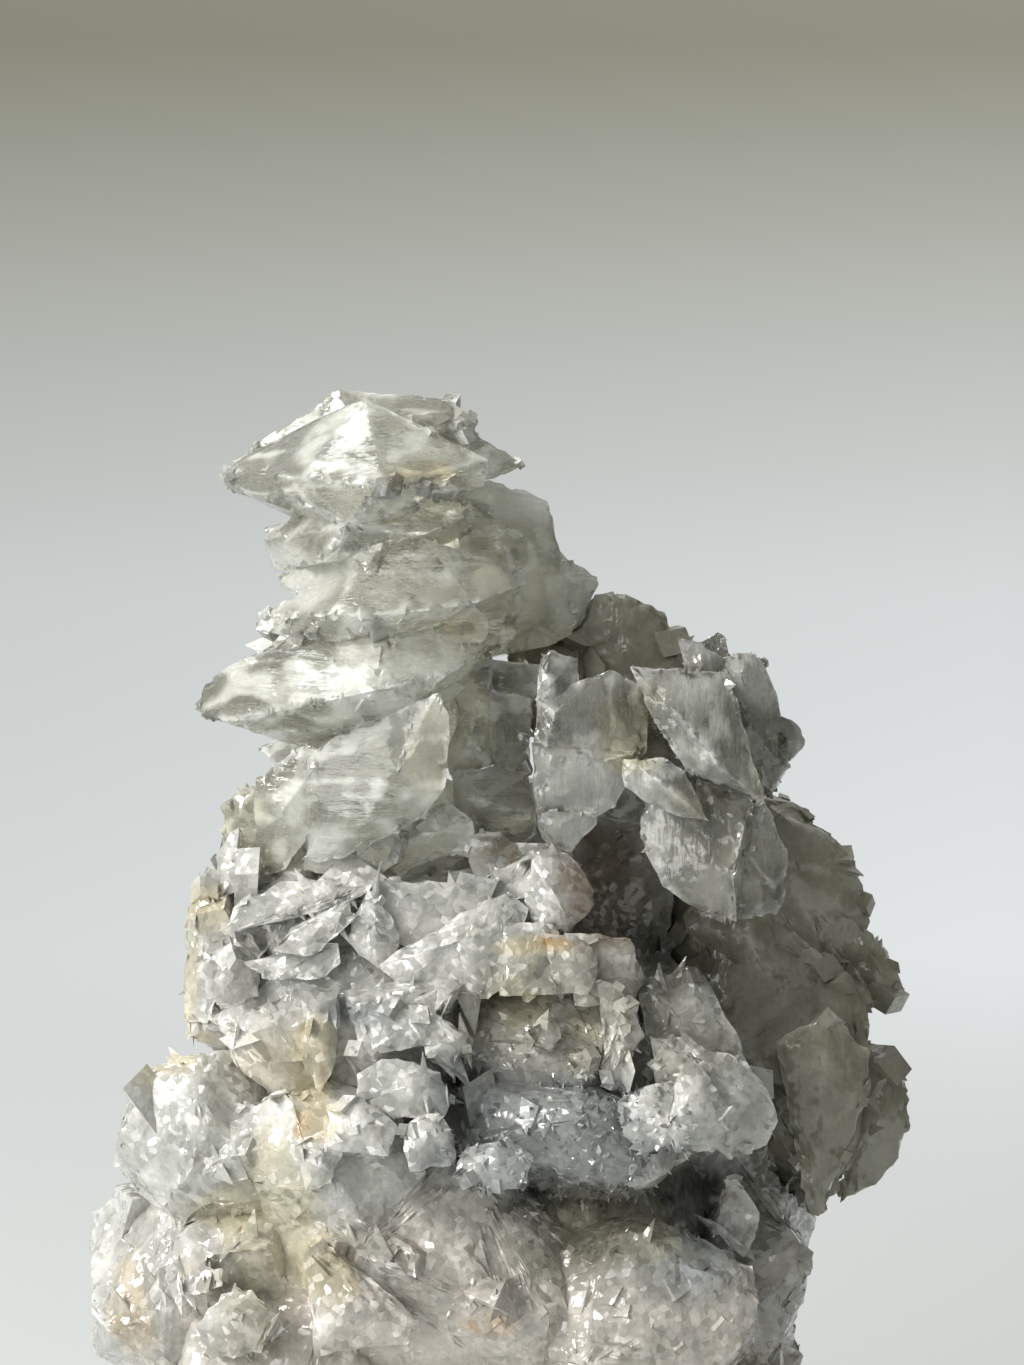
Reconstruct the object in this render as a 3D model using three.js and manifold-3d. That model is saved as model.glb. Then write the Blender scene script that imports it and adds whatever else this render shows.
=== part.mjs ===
// A hand specimen of pagoda calcite: a leaning tower of flattened calcite rhombohedra, stacked like roofs,
// on a lump of massive white calcite that also carries a cluster of pointed crystals on its right
// shoulder and a group of blunt crystals behind it. The lump is broken off flat below, so it stands.
// Millimetres, +Z up. The front faces -Y, and the origin is under the middle of the flat base.
import * as THREE from "three";
import { ConvexGeometry } from "three/addons/geometries/ConvexGeometry.js";
import { mergeVertices } from "three/addons/utils/BufferGeometryUtils.js";
import Module from "manifold-3d";

const wasm = await Module();
wasm.setup();

// Driving dimensions
const JOINT_GAP = 0.3; // between two neighbouring pieces
const MOST_GROWTH = 1.35; // a socket is at most this much larger than its crystal
const BASE_Z = 0; // the flat break that it stands on
const SUNK = 0.86; // how far out the crystals of a crust are centred, as a share of their block
const FINEST_EDGE = 0.1; // smaller edges are merged away after the joins

const EYE = [1, -330, 86]; // the front view that the outlines below are drawn from

const v = (x, y, z) => new THREE.Vector3(x, y, z);
const degrees = THREE.MathUtils.degToRad;

// Outlines are drawn on the plane y = 0 as seen from EYE: a corner at depth y lies on the same sight line
function sighted(x, z, y) {
  const share = 1 - y / EYE[1];
  return v(EYE[0] + share * (x - EYE[0]), y, EYE[2] + share * (z - EYE[2]));
}

// A repeatable random number from 0 to 1
function dice(seed) {
  let state = seed;
  return () => {
    state = (state + 0x6d2b79f5) | 0;
    let t = Math.imul(state ^ (state >>> 15), 1 | state);
    t = (t + Math.imul(t ^ (t >>> 7), 61 | t)) ^ t;
    return ((t ^ (t >>> 14)) >>> 0) / 4294967296;
  };
}

// Solids

function solidOf(geometry) {
  const bare = new THREE.BufferGeometry();
  bare.setAttribute("position", geometry.getAttribute("position"));
  if (geometry.index) bare.setIndex(geometry.index);
  const merged = mergeVertices(bare, 1e-4);
  return new wasm.Manifold(
    new wasm.Mesh({
      numProp: 3,
      vertProperties: new Float32Array(merged.getAttribute("position").array),
      triVerts: new Uint32Array(merged.index.array),
    }),
  );
}

const join = (solids) => solids.reduce((sum, solid) => sum.add(solid));

// A join can cut off a splinter: only the main body is kept
function mainBody(solid) {
  const bodies = solid.decompose();
  return bodies.reduce((a, b) => (a.volume() > b.volume() ? a : b));
}

// A crystal is the hull of its corners. Its socket is the same hull, grown to leave the joint gap.
function crystal(corners) {
  const centre = corners.reduce((sum, p) => sum.add(p), v(0, 0, 0)).divideScalar(corners.length);
  const geometry = new ConvexGeometry(corners);
  const position = geometry.getAttribute("position");
  const face = new THREE.Triangle();
  const plane = new THREE.Plane();
  let nearest = Infinity;
  for (let i = 0; i < position.count; i += 3) {
    face.setFromAttributeAndIndices(position, i, i + 1, i + 2);
    nearest = Math.min(nearest, Math.abs(face.getPlane(plane).distanceToPoint(centre)));
  }
  const growth = Math.min(1 + JOINT_GAP / nearest, MOST_GROWTH);
  const grown = corners.map((p) => p.clone().sub(centre).multiplyScalar(growth).add(centre));
  return { solid: solidOf(geometry), socket: solidOf(new ConvexGeometry(grown)) };
}

// Crystal forms

// A crystal that is the same from behind: front corners [x, z, how far they stand out of depth y], and
// each of them again on the far side of the middle [x, z].
function gem({ corners, middle, y }) {
  const centre = sighted(...middle, y);
  return crystal(
    corners.flatMap(([x, z, out]) => {
      const corner = sighted(x, z, y - out);
      return [corner, centre.clone().multiplyScalar(2).sub(corner)];
    }),
  );
}

// A crystal given by its outline [x, z] as seen from the front, at depth y. slope leans the outline's plane:
// how much deeper it lies per millimetre to the right and up. crest has the corners [x, z, how far they
// stand out] of its front faces. Every second corner comes back turned round, thick deeper and drawn in
// by taper, so that the flanks aren't square to the front.
function shard({ outline, y, slope = [0, 0], thick, taper = 0.42, crest = [] }) {
  const cx = outline.reduce((sum, p) => sum + p[0], 0) / outline.length;
  const cz = outline.reduce((sum, p) => sum + p[1], 0) / outline.length;
  const depth = (x, z) => y + slope[0] * (x - cx) + slope[1] * (z - cz);
  const back = outline
    .filter((p, k) => k % 2 === 0)
    .map(([x, z]) => [cx - taper * (x - cx), cz - taper * (z - cz)]);
  return crystal([
    ...outline.map(([x, z]) => sighted(x, z, depth(x, z))),
    ...back.map(([x, z]) => sighted(x, z, depth(x, z) + thick)),
    ...crest.map(([x, z, out]) => sighted(x, z, depth(x, z) - out)),
  ]);
}

// A flattened rhombohedron round an axis: two apexes and six rim corners, by turns above and below the rim
function rhomb({ at, axis, radius, height, turn }) {
  const spin = new THREE.Quaternion().setFromUnitVectors(v(0, 0, 1), axis.clone().normalize());
  const corners = [v(0, 0, height / 2), v(0, 0, -height / 2)];
  for (let k = 0; k < 6; k++) {
    const angle = turn + (k * Math.PI) / 3;
    const rise = (k % 2 ? -1 : 1) * (height / 6);
    corners.push(v(radius * Math.cos(angle), radius * Math.sin(angle), rise));
  }
  return crystal(corners.map((p) => p.applyQuaternion(spin).add(at)));
}

// A block of massive calcite: corners spread evenly over an ellipsoid, then pushed in and out
function block({ at, size, corners = 30, rough = 0.13, seed }) {
  const roll = dice(seed);
  const golden = Math.PI * (3 - Math.sqrt(5));
  const points = [];
  for (let k = 0; k < corners; k++) {
    const z = 1 - (2 * (k + 0.5)) / corners;
    const ring = Math.sqrt(1 - z * z);
    const angle = golden * k + 2 * Math.PI * roll();
    const far = 1 + rough * (2 * roll() - 1);
    points.push(
      v(
        at[0] + far * size[0] * ring * Math.cos(angle),
        at[1] + far * size[1] * ring * Math.sin(angle),
        at[2] + far * size[2] * z,
      ),
    );
  }
  return crystal(points);
}

// Small crystals grown over a block, roughly facing out of it. from and to are the azimuths they cover,
// in degrees, counted from the right (+X) through the back (+Y).
function crust(host, { count, radius, from, to, low, high, flat = 0.55, seed }) {
  const roll = dice(seed);
  const between = (a, b) => a + (b - a) * roll();
  const grown = [];
  for (let k = 0; k < count; k++) {
    const azimuth = degrees(between(from, to));
    const tilt = degrees(between(low, high));
    const out = v(
      Math.cos(tilt) * Math.cos(azimuth),
      Math.cos(tilt) * Math.sin(azimuth),
      Math.sin(tilt),
    );
    const at = v(
      host.at[0] + SUNK * out.x * host.size[0],
      host.at[1] + SUNK * out.y * host.size[1],
      host.at[2] + SUNK * out.z * host.size[2],
    );
    const axis = out.clone().add(v(between(-0.7, 0.7), between(-0.7, 0.7), between(0.1, 1.1)));
    const size = between(radius[0], radius[1]);
    const height = size * between(flat, 1.9 * flat);
    grown.push(rhomb({ at, axis, radius: size, height, turn: between(0, 2) }));
  }
  return grown;
}

// The pagoda tower: its roofs from the cap down, each a flattened rhombohedron

const roofs = [
  // the cap, and the glassy flat-topped crystal that shows behind it
  {
    corners: [[-10.8, 91.4, 1.5], [-21.9, 85.6, 0], [-21.1, 84, 0.5], [-15.2, 84.9, 8],
      [-9, 84.2, 9.5], [-0.9, 86.4, 3],
      [-1.3, 84.3, 4.5], [-16, 82.9, 6], [-12, 81, 7], [-7, 82.4, 7]],
    middle: [-11.4, 85.4], y: -3,
  },
  {
    corners: [[-12.8, 92.1, 2], [-3.7, 91.3, 2], [-3.4, 89.8, 3], [-20.5, 87, 0], [-19.5, 85.5, 0],
      [-4.4, 88, 4], [-10, 86, 6]],
    middle: [-10.8, 87.3], y: 4,
  },
  {
    corners: [[-3.8, 90.3, 1], [-2, 89.8, 0.6], [-2.2, 88.7, 1], [-7, 90, 2], [-7, 87, 2]],
    middle: [-7, 88.6], y: 2,
  },
  // the narrow neck
  {
    corners: [[-19, 80.2, 0], [-18.5, 79.5, 0.3], [-16.6, 82.1, 1], [-15, 78, 5.5],
      [-13.4, 78.2, 6.5], [-12.2, 81.2, 7.5],
      [-5.6, 80.6, 6], [-3, 83.6, 3], [-2.4, 82, 3.5]],
    middle: [-10.6, 80.5], y: -3,
  },
  {
    corners: [[-17.9, 76.8, 0], [-17.3, 76.1, 0.3], [-16, 78.2, 1], [-15.7, 75.5, 3.5],
      [-12, 79, 6.5], [-9.4, 79.8, 7],
      [-10, 76.5, 7.5]],
    middle: [-11.4, 78], y: -2.8,
  },
  // the two broad roofs
  {
    corners: [[-6.2, 80.2, 3], [-9.5, 79.5, 3.5], [-19.3, 73.6, 0], [-18.8, 72.8, 0.3],
      [-17.6, 75, 1], [-14, 74, 6.5],
      [-7.6, 74.1, 8.5], [-2, 74.9, 5.5], [1.9, 77.6, -0.5], [2.2, 76.5, 0], [-16, 72, 4],
      [-13.2, 71.8, 5.5], [-8, 72.9, 7],
      [-4, 73.9, 6]],
    middle: [-8.6, 75.2], y: -5,
  },
  {
    corners: [[-9, 75, 2], [-16.6, 72.4, 2], [-24.5, 66.4, 0], [-23.6, 68.5, 0.3], [-22.2, 69.7, 0.8],
      [-20, 70.6, 1.2],
      [-0.8, 72.2, 0], [-0.9, 71.6, 0.4], [-1.9, 70.7, 2], [-22, 65.5, 2.5], [-16, 66.6, 7.5],
      [-10, 68, 8.8],
      [-4.4, 69, 5], [-19.6, 64.5, 3.2], [-12.4, 64.7, 6.5], [-6.4, 67, 6]],
    middle: [-12.6, 69.2], y: -6,
  },
  // the dark second stack on the right: two folded plates, and one behind them
  {
    corners: [[4.1, 82.2, 0], [3.8, 83.1, -1], [3.7, 81.2, 0.5], [2, 84, -1], [-0.8, 84.8, 1],
      [-3, 83.7, 2.5],
      [0, 81.5, 3.4], [3.9, 78, 2], [5, 78.4, 0.5]],
    middle: [-4.6, 81.3], y: 3,
  },
  {
    corners: [[-3, 82.2, 3], [0, 81.6, 3.6], [4, 78.3, 2.4], [5.1, 78.4, 1], [5.5, 76.4, 1],
      [6.2, 73.4, 0], [5.8, 72.4, 0],
      [3.8, 71.5, 1], [-1, 70.6, 2], [1.6, 74.8, 3.4]],
    middle: [-3, 76], y: 3,
  },
  {
    corners: [[4, 79.6, 1], [5, 79, 0.6], [7.8, 77.1, 0], [7.9, 76.5, 0], [7.2, 75.2, 0.5],
      [6.5, 73, 1], [2, 72, 3], [2, 78, 4]],
    middle: [-2, 76], y: 9,
  },
  // roofs on the far side, that tip the other way
  {
    corners: [[-19, 81, 0], [-16, 79, 6], [-8, 78, 7], [2, 80.6, 0], [-9, 84, 1]],
    middle: [-8.4, 80.6], y: 6,
  },
  {
    corners: [[-20.5, 71.6, 0], [-17, 70, 6], [-7, 69, 7], [3.4, 74.6, 0], [-8, 77, 1]],
    middle: [-8.4, 73], y: 6,
  },
  {
    corners: [[-19.4, 63.4, 0], [-17, 61, 6], [-7, 60, 7], [2.6, 66, 0], [-8, 70, 1]],
    middle: [-8.4, 64.6], y: 5,
  },
];

const towerShards = [
  // broken steps at the right of the cap
  { outline: [[-4.8, 89.3], [-2.9, 89.5], [-2.2, 87.6], [-2.9, 87], [-5.2, 88]], y: -4.6, thick: 5 },
  {
    outline: [[-2.2, 88.7], [0.4, 87.1], [1.6, 86.2], [1.4, 85.7], [-0.6, 84.8], [-5, 84], [-6, 88]],
    y: 4, thick: 7,
  },
  // blunt ends between the broad roofs
  {
    outline: [[-5.4, 73.2], [-2, 74.7], [-1, 73.9], [-0.8, 72.6], [-1.4, 71.8], [-5, 71.6]],
    y: -8, slope: [0.2, 0], thick: 6,
  },
  { outline: [[-8, 66.4], [-5, 69], [-2.5, 68.3], [-4, 67]], y: -7, thick: 5 },
  // the round disc, and the smaller ones to its left and below
  {
    outline: [[-14.8, 63.2], [-12.8, 64.5], [-6.4, 67], [-5, 67.9], [-4.1, 66.4], [-4, 62.4],
      [-4.4, 60.2], [-6, 57.8],
      [-8.6, 56.4], [-12, 54.6], [-14.6, 54], [-15.6, 54.6], [-15.5, 57.4], [-15.9, 60.6]],
    y: -11.4, slope: [-0.16, -0.06], thick: 6, crest: [[-13.4, 58, 0.8], [-8.6, 60.6, 0.9], [-11, 57, 1]],
  },
  {
    outline: [[-19.6, 61], [-18, 62], [-15.6, 63.8], [-14, 63], [-15, 57], [-16, 55.2], [-17.2, 53.6],
      [-19, 52.8],
      [-19.4, 55.4], [-19.9, 58]],
    y: -9.6, slope: [-0.4, 0], thick: 7, crest: [[-17.6, 58, 0.9]],
  },
  {
    outline: [[-20.6, 60.2], [-19.4, 60.4], [-18.4, 58.6], [-18.6, 55], [-21.2, 55.2], [-22.3, 55.6],
      [-22.2, 58.2], [-21.5, 59.6]],
    y: -7.6, slope: [-0.3, 0], thick: 6, crest: [[-20.8, 58, 0.8]],
  },
  {
    outline: [[-15.8, 54.6], [-12, 55.4], [-8, 57], [-7.8, 56], [-8.2, 54.2], [-9.6, 53], [-12, 52.6],
      [-15.8, 53.4]],
    y: -10, slope: [0, -0.4], thick: 6,
  },
  // plates that stand upright in the shaded valley beside the disc
  {
    outline: [[-4.6, 70.6], [-2, 70.6], [3.4, 70], [2.9, 67], [0, 67.6]],
    y: -3.5, slope: [0.1, -0.5], thick: 6,
  },
  {
    outline: [[-0.8, 68], [2.7, 67.4], [2.3, 61.4], [0.5, 59.8], [-0.8, 62.6]],
    y: -4.6, slope: [0.5, 0], thick: 6,
  },
  {
    outline: [[-4.8, 70.6], [-0.6, 70.2], [-0.4, 62], [-4.2, 61]],
    y: -4, slope: [-0.2, 0.1], thick: 7, crest: [[-2.4, 64, 0.8]],
  },
  {
    outline: [[-4.2, 61.6], [0.4, 62], [2.2, 61.4], [2.9, 58], [2.9, 56.4], [0.6, 54.4], [-3.6, 56.6]],
    y: -4.8, slope: [0.1, -0.15], thick: 6, crest: [[-0.6, 59, 1.2]],
  },
  {
    outline: [[-9, 55.6], [-6, 57.8], [-4.2, 59], [-2.2, 57.8], [-2, 56.2], [-4.2, 54.7], [-9, 53]],
    y: -8, slope: [0.1, -0.3], thick: 6, crest: [[-5, 56.6, 0.8]],
  },
  {
    outline: [[-4, 55], [-2.4, 56.2], [-1.4, 56.7], [0, 56.6], [1.3, 55.6], [1.6, 54.6], [0.6, 53.6],
      [-0.8, 53.4]],
    y: -7.6, thick: 5, crest: [[-0.6, 55.6, 0.8]],
  },
];

// A core that carries the roofs and roots them in the lump
const towerCore = [
  { at: [-9.5, 1, 80], size: [7, 7.5, 9], seed: 3 },
  { at: [-10, 0.5, 68], size: [8.5, 9, 9], seed: 4 },
  { at: [-9.5, 0.5, 57], size: [9, 9, 7], seed: 5 },
];

// The cluster on the right shoulder

const clusterShards = [
  // the blocky plate with its stepped upper edge and its broken left side
  {
    outline: [[3.1, 70.8], [4.2, 71.2], [6.3, 70.5], [6.4, 66], [2.9, 66]],
    y: -10, slope: [0.1, 0], thick: 6, crest: [[4, 68.4, 0.7]],
  },
  {
    outline: [[2.9, 67.4], [8.8, 69.7], [10, 69.1], [11.2, 68.4], [11.8, 66.8], [11.8, 62.4],
      [2.5, 62.2]],
    y: -10, slope: [0.05, 0.05], thick: 7, crest: [[4.4, 66.2, 1], [8.8, 66.6, 0.8], [4, 63.8, 1]],
  },
  {
    outline: [[2.5, 63.8], [11.4, 63], [9.9, 60.2], [9.3, 58.5], [7.8, 57.8], [2.9, 58.2], [2.6, 60.4]],
    y: -10.4, slope: [0.05, -0.1], thick: 7, crest: [[4.2, 62.8, 0.9], [8.4, 62.4, 0.9]],
  },
  {
    outline: [[2.9, 58.4], [7.8, 58.2], [7.8, 57.2], [6.6, 56], [5.7, 54.9], [4.2, 55.1], [3.3, 55.8],
      [2.9, 57]],
    y: -10.2, slope: [0.1, -0.2], thick: 6, crest: [[5, 57.4, 0.7]],
  },
  // two pointed plates that overlap like scales
  {
    outline: [[13.4, 62.6], [14.9, 61.5], [16.8, 57.4], [14, 57.9], [11.6, 58.8], [10, 60.2],
      [9.4, 62.6]],
    y: -11.6, slope: [0.06, 0.12], thick: 7, crest: [[13, 60.6, 0.9]],
  },
  {
    outline: [[10.4, 69.9], [13, 69.3], [18.4, 69.6], [19.7, 63], [21.3, 59], [15.1, 61.2],
      [13.4, 63.8], [12, 66], [11.2, 68.2]],
    y: -10.6, slope: [0.08, 0.12], thick: 7, crest: [[14.4, 66, 1], [17.4, 62, 0.9]],
  },
  {
    outline: [[14.2, 72.2], [15.8, 71.9], [18, 70.6], [18.4, 67.6], [15.2, 68]],
    y: -8.6, slope: [0.1, 0], thick: 6, crest: [[16.2, 70, 0.9]],
  },
  // the knobbly crystals at the upper right
  {
    outline: [[15.8, 71.8], [16.8, 72.4], [17.4, 72.7], [18, 72.3], [18.3, 71], [18.2, 69], [15.8, 69]],
    y: -5, thick: 6, taper: 0.3,
  },
  {
    outline: [[17.6, 70.6], [18.8, 70.7], [19.4, 71.1], [20.2, 70.9], [21.1, 70], [22, 68.2],
      [22.5, 66.6], [22.4, 62], [18.4, 62]],
    y: -7.4, slope: [0.3, 0], thick: 9, taper: 0.4, crest: [[19.4, 69.4, 0.9], [20, 65.4, 1.2]],
  },
  {
    outline: [[21.8, 65.9], [22.6, 65.9], [23.4, 65.6], [24.2, 64.9], [24.5, 64], [24.3, 63.2],
      [23.3, 62.2], [21.6, 62]],
    y: -3.6, slope: [0.1, 0], thick: 7, crest: [[23, 64, 0.8]],
  },
  {
    outline: [[19.6, 65], [22, 64], [23.2, 62.4], [23.2, 61.8], [21.8, 59.7], [21.2, 59.1], [19.4, 61]],
    y: -6.4, slope: [0.25, 0], thick: 7, crest: [[21, 62.4, 0.8]],
  },
  // the big crystal that hangs below them, folded along a ridge and ending in a point
  {
    outline: [[11.7, 59.4], [11, 57], [11.1, 56], [13, 54], [13.1, 52.2], [16.2, 49.9], [19, 49.4],
      [20.4, 59.2], [16, 61]],
    y: -9.6, slope: [-0.04, 0.1], thick: 7, crest: [[18.8, 53.4, 1.4], [19.6, 57, 1], [14.2, 54.8, 0.5]],
  },
  {
    outline: [[20.2, 59.4], [21.4, 59.1], [22.4, 56.5], [23.1, 55], [23.1, 53.4], [22.8, 51],
      [22.2, 49.9], [19, 49.5]],
    y: -8.8, slope: [0.4, 0.05], thick: 7, crest: [[20, 55, 0.7], [22, 52, 0.3]],
  },
];

const clusterCore = [
  { at: [11.5, -1, 62], size: [8, 6, 6.5], seed: 11 },
  { at: [16, 1, 61], size: [6, 6.5, 8.5], seed: 12 },
];

// The blunt crystals behind and to the right

const rearShards = [
  // a rounded knob seen between the tower and the cluster
  {
    outline: [[1, 73], [5, 74], [8, 75.7], [9, 76], [11, 75.4], [12.2, 74.8], [13.4, 74], [14.2, 72.8],
      [15, 70], [14, 64], [3, 64], [0, 68]],
    y: 8, thick: 10, taper: 0.3, crest: [[10.6, 71.6, 1.6]],
  },
  // large blunt crystals on the far side
  {
    outline: [[18, 58.6], [22, 58.6], [23, 57.4], [26, 56], [28.7, 54.2], [29.6, 51.8], [30, 50],
      [28, 45], [18, 45]],
    y: 9, slope: [0.25, -0.1], thick: 11, taper: 0.35, crest: [[25, 52, 1.2]],
  },
  {
    outline: [[28.4, 49.6], [30, 48.4], [31.1, 47], [32, 45.6], [32.4, 44.2], [31.6, 43], [30, 42.4],
      [27, 45]],
    y: 10, thick: 8, crest: [[30.6, 45, 0.8]],
  },
  {
    outline: [[16.6, 49.6], [20.4, 50.4], [23, 49.2], [26.4, 46.2], [29.7, 43.6], [30, 41],
      [29.6, 37], [22, 36], [17, 40]],
    y: 5, slope: [0.15, 0.35], thick: 12, crest: [[27.8, 44.6, 1.2], [22, 47.4, 0.6]],
  },
  {
    outline: [[22.2, 39.6], [23.8, 41], [26.4, 42], [28.4, 40.4], [29.9, 38.8], [30, 36.6],
      [28.6, 32], [26.5, 27], [25.6, 25.7],
      [24.7, 25.8], [23.8, 30]],
    y: 0, slope: [0.2, 0], thick: 11, taper: 0.4, crest: [[26, 38.4, 1.2], [28.2, 35, 0.7],
      [25.6, 30, 0.9]],
  },
  {
    outline: [[28.6, 39.6], [30.2, 39], [31.4, 38.2], [32.5, 37.2], [33.2, 35], [33.2, 32.4],
      [32.2, 30.2], [30, 28], [27.4, 26.6]],
    y: 7, thick: 11, taper: 0.35, crest: [[30.6, 33.6, 1.4]],
  },
];

const rearCore = [
  { at: [19, 13, 46], size: [9, 8.5, 15], seed: 21 },
  { at: [12.4, 13, 60], size: [6.6, 6.4, 13], seed: 22 },
  { at: [25, 8, 33], size: [5, 7, 8], seed: 23 },
];

// The lump of massive calcite

const lumps = [
  { at: [-3.4, 1.5, 6], size: [27, 20, 18], corners: 40, seed: 31 },
  { at: [-3.5, 3, 26], size: [24, 17.5, 13], corners: 40, seed: 34 },
  { at: [-10, 1.5, 40], size: [13.5, 11.5, 12], corners: 36, seed: 36 },
  { at: [12, 8, 33], size: [12.5, 12, 14], corners: 36, seed: 35 },
  { at: [5, 9, 49], size: [12, 8.5, 11], corners: 30, seed: 38 },
  { at: [3.6, -6.6, 41], size: [9, 8, 6.6], corners: 30, rough: 0.08, seed: 37 },
];

// Bulges on the left flank, at the foot of the front and on the right
const bulges = [
  { at: [-22.8, -8, 33.2], size: [8.2, 6.6, 7.4], corners: 40, rough: 0.05, seed: 41 },
  { at: [-20, -11.6, 32], size: [5, 3.6, 5], corners: 22, rough: 0.08, seed: 42 },
  { at: [-26.6, -6, 21.5], size: [7.9, 9, 8.6], corners: 36, rough: 0.06, seed: 43 },
  { at: [-25, -3, 8], size: [6.6, 10, 12], corners: 26, rough: 0.1, seed: 44 },
  { at: [-20, -3.5, 46], size: [5.4, 7, 9], corners: 26, rough: 0.1, seed: 50 },
  { at: [-15, -2, 51.4], size: [8, 8, 4.6], corners: 24, rough: 0.1, seed: 51 },
  { at: [-6, -12, 22], size: [13, 6.4, 11], corners: 28, rough: 0.12, seed: 45 },
  { at: [7, -11, 19], size: [14, 6.6, 8.4], corners: 28, rough: 0.12, seed: 46 },
  { at: [-16, -11.4, 12], size: [12, 6.6, 12], corners: 28, rough: 0.12, seed: 47 },
  { at: [19.6, 1, 20], size: [7, 10, 9], corners: 24, rough: 0.12, seed: 48 },
  { at: [17, 2, 7], size: [9.6, 13, 13], corners: 26, rough: 0.1, seed: 40 },
  { at: [19, 10, 24], size: [8, 9, 11], corners: 24, rough: 0.12, seed: 39 },
  { at: [5, -11, 34], size: [11, 5.4, 5.6], corners: 28, rough: 0.08, seed: 49 },
  // the ground under the blades and blocks of the front
  { at: [-10, -8.4, 42.6], size: [11.6, 6, 9.4], corners: 28, rough: 0.08, seed: 63 },
  { at: [-13, -12, 30.6], size: [8.6, 5.4, 8.4], corners: 26, rough: 0.08, seed: 64 },
  { at: [-20, -10.6, 24], size: [6.4, 5, 6.6], corners: 24, rough: 0.08, seed: 65 },
];

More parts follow.
